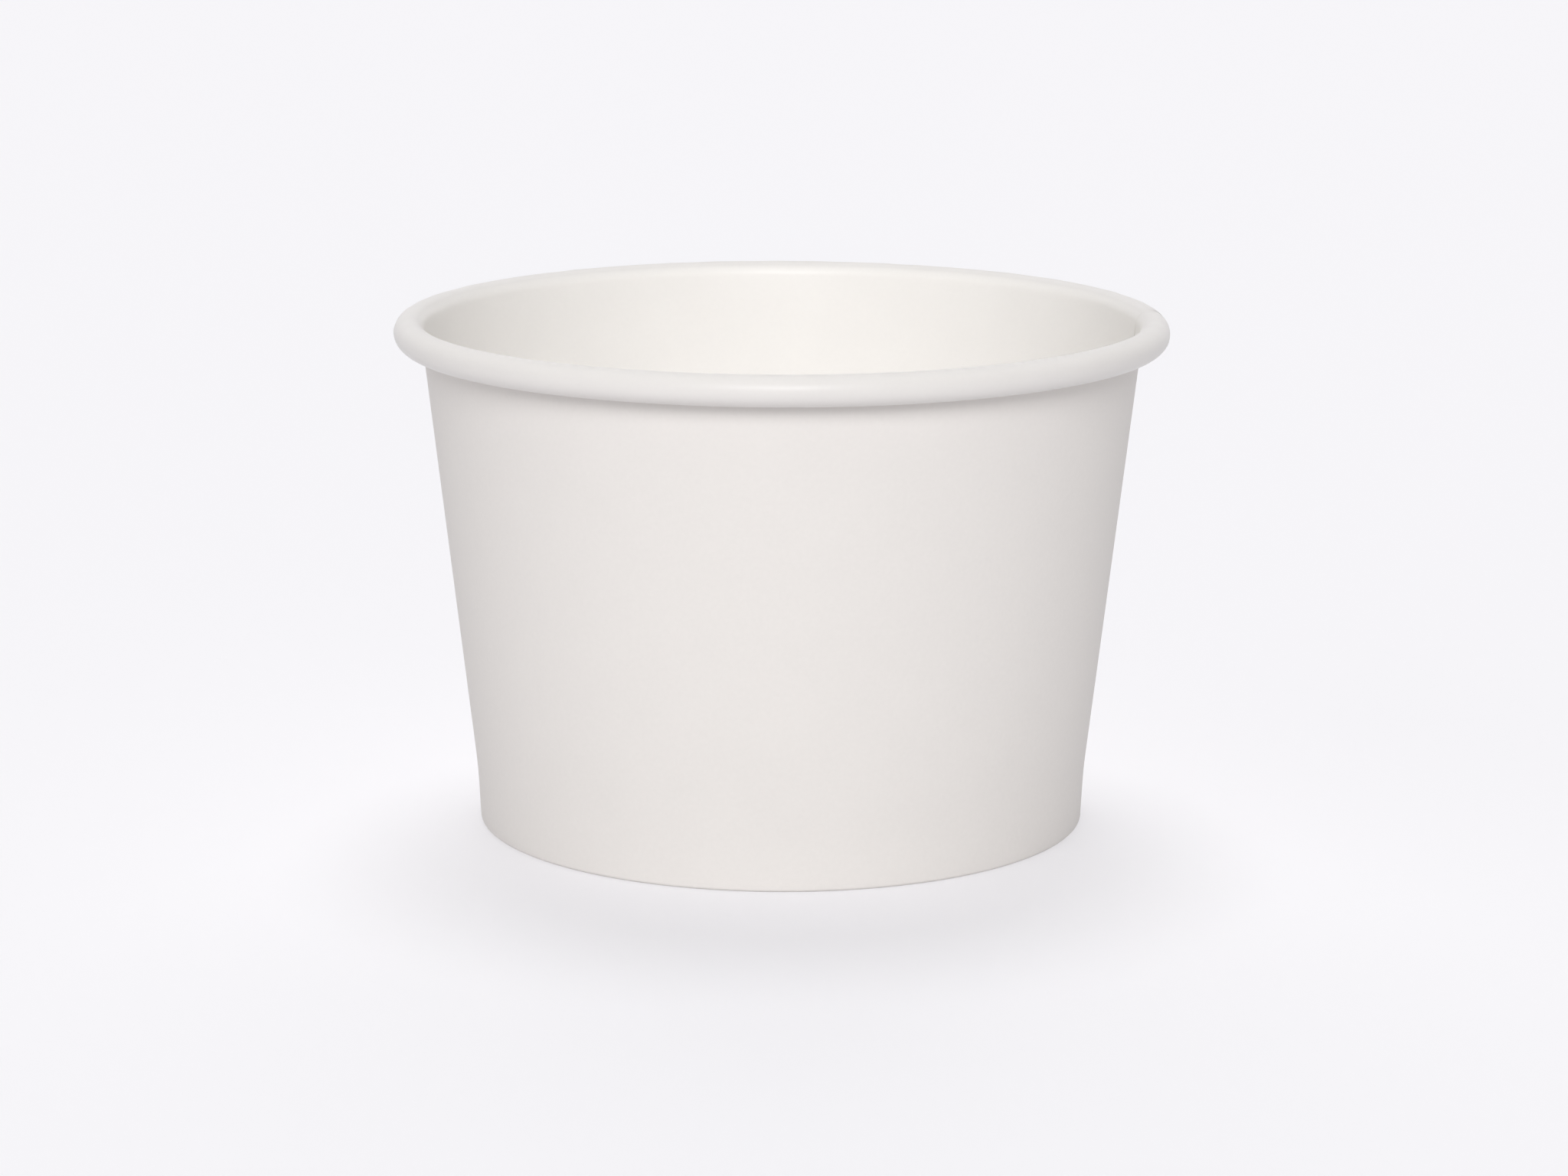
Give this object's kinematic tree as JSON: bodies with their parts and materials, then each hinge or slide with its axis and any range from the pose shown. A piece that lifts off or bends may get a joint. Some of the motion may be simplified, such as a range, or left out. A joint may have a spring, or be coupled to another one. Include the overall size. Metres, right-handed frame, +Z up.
{
  "type": "paper tub",
  "caption": "Plain white paperboard tub, gently tapered, with a rolled rim, a lapped side seam and a recessed base disc sealed into its foot; holds ice cream, soup or snacks.",
  "frame": {"origin": "on the table under the middle of the tub, level with the folds of the foot", "axes": "+Z up along the tub's axis, -Y towards the viewer; the outer lap edge of the side seam lies 15 degrees round from +X"},
  "size_m": [0.095, 0.095, 0.063],
  "materials": {
    "sidewall_board": "satin coated paperboard",
    "base_board": "satin coated paperboard"
  },
  "bodies": {
    "root": {"sidewall": "sidewall_board", "base_disc": "base_board"}
  },
  "joints": []
}
